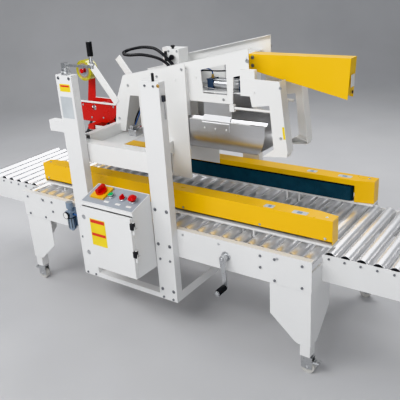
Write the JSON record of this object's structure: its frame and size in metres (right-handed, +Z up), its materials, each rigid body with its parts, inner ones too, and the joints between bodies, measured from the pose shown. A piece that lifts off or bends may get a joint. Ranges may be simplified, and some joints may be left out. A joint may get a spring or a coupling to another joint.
{
  "type": "carton sealer",
  "caption": "Carton sealing machine: roller bed with extension tables, side belt drives, adjustable folding and taping head on four posts, control cabinet and castors.",
  "frame": {"origin": "on the floor, under the middle of the bounding box", "axes": "+X along the conveyor towards the infeed end, +Y from the operator side (cabinet and cranks) to the far side, +Z up"},
  "size_m": [2.61, 0.973, 1.354],
  "materials": {
    "white_paint": "powder-coated light grey sheet steel",
    "yellow_paint": "powder-coated signal yellow",
    "red_paint": "gloss red enamel",
    "roller_steel": "polished plated tube",
    "zinc": "zinc-plated steel",
    "stainless": "polished stainless sheet",
    "dark_bolt": "zinc-plated socket screws",
    "panel_grey": "grey-blue satin panel",
    "red_plastic": "glossy red plastic",
    "green_plastic": "glossy green plastic",
    "regulator": "grey-blue plastic and bowl",
    "belt_rubber": "dark teal ribbed rubber",
    "black_rubber": "black rubber",
    "castor_wheel": "light nylon wheel with darker tread",
    "tape": "yellow-olive film tape on a card core",
    "alloy": "machined aluminium",
    "dark_steel": "black painted steel"
  },
  "bodies": {
    "frame": {"bed_rails": "white_paint", "bed_cross": "white_paint", "rollers": "roller_steel", "legs": "white_paint", "tables": "white_paint", "uprights": "white_paint", "lower_beams": "white_paint", "frame_bolts": "dark_bolt", "cabinet_body": "white_paint", "control_panel": "panel_grey", "air_regulator": "regulator", "guide_rods": "zinc", "low_tape_frame": "red_paint"},
    "door": {"cabinet_door": "white_paint"},
    "switch": {"switch_knob": "red_plastic"},
    "green": {"green_button": "green_plastic"},
    "selector_knob": {"selector": "red_plastic"},
    "stop": {"stop_button": "red_plastic"},
    "head": {"carriage": "white_paint", "head_plates": "white_paint", "head_ties": "white_paint", "side_panels": "white_paint", "wing_plates": "white_paint", "fold_plate": "stainless", "infeed_arm": "yellow_paint", "conduit": "black_rubber", "flap_cylinder": "dark_steel", "tape_frame": "red_paint"},
    "flap_rod_body": {"flap_rod": "zinc"},
    "flap_arm_body": {"flap_arm": "dark_steel"},
    "tape_roll_body": {"tape_roll": "tape"},
    "front_arm_body": {"front_arm": "dark_steel"},
    "front_roller_body": {"front_roller": "black_rubber"},
    "rear_arm_body": {"rear_arm": "dark_steel"},
    "rear_roller_body": {"rear_roller": "black_rubber"},
    "low_roll_body": {"low_tape_roll": "tape"},
    "drive_near": {"cover_near": "yellow_paint", "belt_near": "belt_rubber", "rail_near": "white_paint"},
    "drive_far": {"cover_far": "yellow_paint", "belt_far": "belt_rubber", "rail_far": "white_paint"},
    "pulley_na_body": {"pulley_na": "alloy"},
    "pulley_nb_body": {"pulley_nb": "alloy"},
    "pulley_fa_body": {"pulley_fa": "alloy"},
    "pulley_fb_body": {"pulley_fb": "alloy"},
    "width_crank_body": {"width_crank": "zinc"},
    "lift_crank_body": {"lift_crank": "zinc"},
    "foot_a_body": {"foot_a": "white_paint"},
    "fork_a_body": {"fork_a": "zinc"},
    "wheel_a_body": {"wheel_a": "castor_wheel"},
    "foot_b_body": {"foot_b": "white_paint"},
    "fork_b_body": {"fork_b": "zinc"},
    "wheel_b_body": {"wheel_b": "castor_wheel"},
    "foot_c_body": {"foot_c": "white_paint"},
    "fork_c_body": {"fork_c": "zinc"},
    "wheel_c_body": {"wheel_c": "castor_wheel"},
    "foot_d_body": {"foot_d": "white_paint"},
    "fork_d_body": {"fork_d": "zinc"},
    "wheel_d_body": {"wheel_d": "castor_wheel"}
  },
  "joints": [
    {"name": "door_swing", "type": "hinge", "parent": "frame", "child": "door", "pos_m": [0.104, -0.4765, 0.5], "axis": [0, 0, 1], "range_deg": [0, 115]},
    {"name": "main_switch", "type": "hinge", "parent": "frame", "child": "switch", "pos_m": [-0.14, -0.39727, 0.69181], "axis": [0, -0.3026, 0.9531], "range_deg": [-90, 0]},
    {"name": "green_press", "type": "slide", "parent": "frame", "child": "green", "axis": [0, 0.3026, -0.9531], "range_m": [0, 0.004], "stiffness_N_per_m": 300, "springref_m": -0.004},
    {"name": "selector_turn", "type": "hinge", "parent": "frame", "child": "selector_knob", "pos_m": [-0.008, -0.4068, 0.68878], "axis": [0, -0.3026, 0.9531], "range_deg": [-45, 45]},
    {"name": "stop_press", "type": "slide", "parent": "frame", "child": "stop", "axis": [0, 0.3026, -0.9531], "range_m": [0, 0.005]},
    {"name": "head_lift", "type": "slide", "parent": "frame", "child": "head", "axis": [0, 0, 1], "range_m": [-0.1, 0.25]},
    {"name": "lift_crank_turn", "type": "hinge", "parent": "frame", "child": "lift_crank_body", "pos_m": [-0.346, -0.3225, 1.2], "axis": [0, 0, 1], "range_deg": [-3660, 9060]},
    {"name": "near_drive_slide", "type": "slide", "parent": "frame", "child": "drive_near", "axis": [0, 1, 0], "range_m": [-0.06, 0.11]},
    {"name": "far_drive_slide", "type": "slide", "parent": "frame", "child": "drive_far", "axis": [0, 1, 0], "range_m": [-0.112, 0.062]},
    {"name": "width_crank_turn", "type": "hinge", "parent": "frame", "child": "width_crank_body", "pos_m": [0.455, -0.3025, 0.473], "axis": [0, 1, 0], "range_deg": [-2200, 4000]},
    {"name": "flap_rod_slide", "type": "slide", "parent": "head", "child": "flap_rod_body", "axis": [-1, 0, 0], "range_m": [0, 0.075]},
    {"name": "flap_arm_turn", "type": "hinge", "parent": "head", "child": "flap_arm_body", "pos_m": [0.04, 0.07, 1.09], "axis": [0, 1, 0], "range_deg": [-62, 1]},
    {"name": "tape_roll_spin", "type": "hinge", "parent": "head", "child": "tape_roll_body", "pos_m": [-0.617, 0.07, 1.14], "axis": [0, 1, 0], "continuous": true},
    {"name": "front_arm_swing", "type": "hinge", "parent": "head", "child": "front_arm_body", "pos_m": [-0.5, 0.07, 0.9], "axis": [0, 1, 0], "range_deg": [-22, 0]},
    {"name": "rear_arm_swing", "type": "hinge", "parent": "head", "child": "rear_arm_body", "pos_m": [-0.585, 0.07, 0.895], "axis": [0, 1, 0], "range_deg": [0, 22]},
    {"name": "front_roller_spin", "type": "hinge", "parent": "front_arm_body", "child": "front_roller_body", "pos_m": [-0.425, 0.07, 0.785], "axis": [0, 1, 0], "continuous": true},
    {"name": "rear_roller_spin", "type": "hinge", "parent": "rear_arm_body", "child": "rear_roller_body", "pos_m": [-0.655, 0.07, 0.79], "axis": [0, 1, 0], "continuous": true},
    {"name": "low_roll_spin", "type": "hinge", "parent": "frame", "child": "low_roll_body", "pos_m": [-0.44, 0.07, 0.34], "axis": [0, 1, 0], "continuous": true},
    {"name": "pulley_na_spin", "type": "hinge", "parent": "drive_near", "child": "pulley_na_body", "pos_m": [-0.655, -0.1385, 0.6], "axis": [0, 0, 1], "continuous": true},
    {"name": "pulley_nb_spin", "type": "hinge", "parent": "drive_near", "child": "pulley_nb_body", "pos_m": [0.763, -0.1385, 0.6], "axis": [0, 0, 1], "continuous": true},
    {"name": "pulley_fa_spin", "type": "hinge", "parent": "drive_far", "child": "pulley_fa_body", "pos_m": [-0.655, 0.2785, 0.6], "axis": [0, 0, 1], "continuous": true},
    {"name": "pulley_fb_spin", "type": "hinge", "parent": "drive_far", "child": "pulley_fb_body", "pos_m": [0.763, 0.2785, 0.6], "axis": [0, 0, 1], "continuous": true},
    {"name": "foot_a_extend", "type": "slide", "parent": "frame", "child": "foot_a_body", "axis": [0, 0, -1], "range_m": [0, 0.12]},
    {"name": "castor_a_swivel", "type": "hinge", "parent": "foot_a_body", "child": "fork_a_body", "pos_m": [0.815, -0.2715, 0.08], "axis": [0, 0, 1], "continuous": true},
    {"name": "castor_a_roll", "type": "hinge", "parent": "fork_a_body", "child": "wheel_a_body", "pos_m": [0.827, -0.2715, 0.03], "axis": [0, 1, 0], "continuous": true},
    {"name": "foot_b_extend", "type": "slide", "parent": "frame", "child": "foot_b_body", "axis": [0, 0, -1], "range_m": [0, 0.12]},
    {"name": "castor_b_swivel", "type": "hinge", "parent": "foot_b_body", "child": "fork_b_body", "pos_m": [-0.815, -0.2715, 0.08], "axis": [0, 0, 1], "continuous": true},
    {"name": "castor_b_roll", "type": "hinge", "parent": "fork_b_body", "child": "wheel_b_body", "pos_m": [-0.827, -0.2715, 0.03], "axis": [0, 1, 0], "continuous": true},
    {"name": "foot_c_extend", "type": "slide", "parent": "frame", "child": "foot_c_body", "axis": [0, 0, -1], "range_m": [0, 0.12]},
    {"name": "castor_c_swivel", "type": "hinge", "parent": "foot_c_body", "child": "fork_c_body", "pos_m": [0.815, 0.4115, 0.08], "axis": [0, 0, 1], "continuous": true},
    {"name": "castor_c_roll", "type": "hinge", "parent": "fork_c_body", "child": "wheel_c_body", "pos_m": [0.827, 0.4115, 0.03], "axis": [0, 1, 0], "continuous": true},
    {"name": "foot_d_extend", "type": "slide", "parent": "frame", "child": "foot_d_body", "axis": [0, 0, -1], "range_m": [0, 0.12]},
    {"name": "castor_d_swivel", "type": "hinge", "parent": "foot_d_body", "child": "fork_d_body", "pos_m": [-0.815, 0.4115, 0.08], "axis": [0, 0, 1], "continuous": true},
    {"name": "castor_d_roll", "type": "hinge", "parent": "fork_d_body", "child": "wheel_d_body", "pos_m": [-0.827, 0.4115, 0.03], "axis": [0, 1, 0], "continuous": true}
  ],
  "couplings": [
    {"joint": "lift_crank_turn", "follows": "head_lift", "rad_per_m": 628.32},
    {"joint": "far_drive_slide", "follows": "near_drive_slide", "ratio": -1},
    {"joint": "width_crank_turn", "follows": "near_drive_slide", "rad_per_m": 628.32},
    {"joint": "flap_arm_turn", "follows": "flap_rod_slide", "rad_per_m": -14},
    {"joint": "rear_arm_swing", "follows": "front_arm_swing", "ratio": -1},
    {"joint": "pulley_nb_spin", "follows": "pulley_na_spin", "ratio": 1},
    {"joint": "pulley_fa_spin", "follows": "pulley_na_spin", "ratio": -1},
    {"joint": "pulley_fb_spin", "follows": "pulley_na_spin", "ratio": -1}
  ]
}
